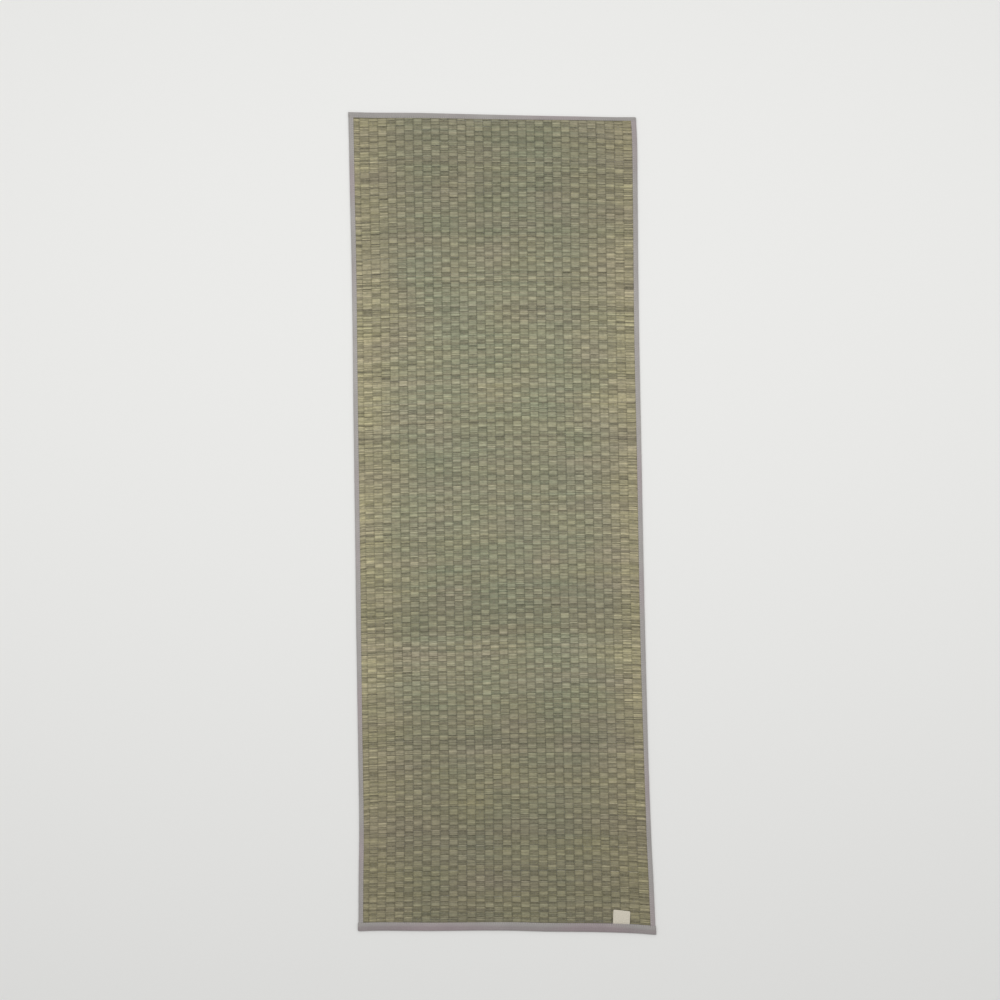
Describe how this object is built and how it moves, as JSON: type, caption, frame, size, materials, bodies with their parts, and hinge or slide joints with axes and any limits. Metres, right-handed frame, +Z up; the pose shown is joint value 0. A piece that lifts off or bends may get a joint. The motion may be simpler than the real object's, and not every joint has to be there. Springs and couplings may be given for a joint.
{
  "type": "tatami yoga mat",
  "caption": "Long flat yoga mat of woven rush with folded cloth bindings along its four edges and a small blank label at one corner, lying flat.",
  "frame": {"origin": "on the surface that the mat lies on, at the middle of its bounding box", "axes": "+Y along the mat's length, from the label's end to the other; +X across it to the label's side; +Z up, out of its face"},
  "size_m": [0.616, 1.7244, 0.0047],
  "materials": {
    "rush": "woven dried rush, grey-green to straw, low satin sheen",
    "tape": "woven cotton tape, warm grey, matt",
    "label_cloth": "fine woven cream label cloth, matt, blank"
  },
  "bodies": {
    "root": {"rush_panel": "rush", "left_binding": "tape", "right_binding": "tape", "top_binding": "tape", "bottom_binding": "tape", "label": "label_cloth"}
  },
  "joints": []
}
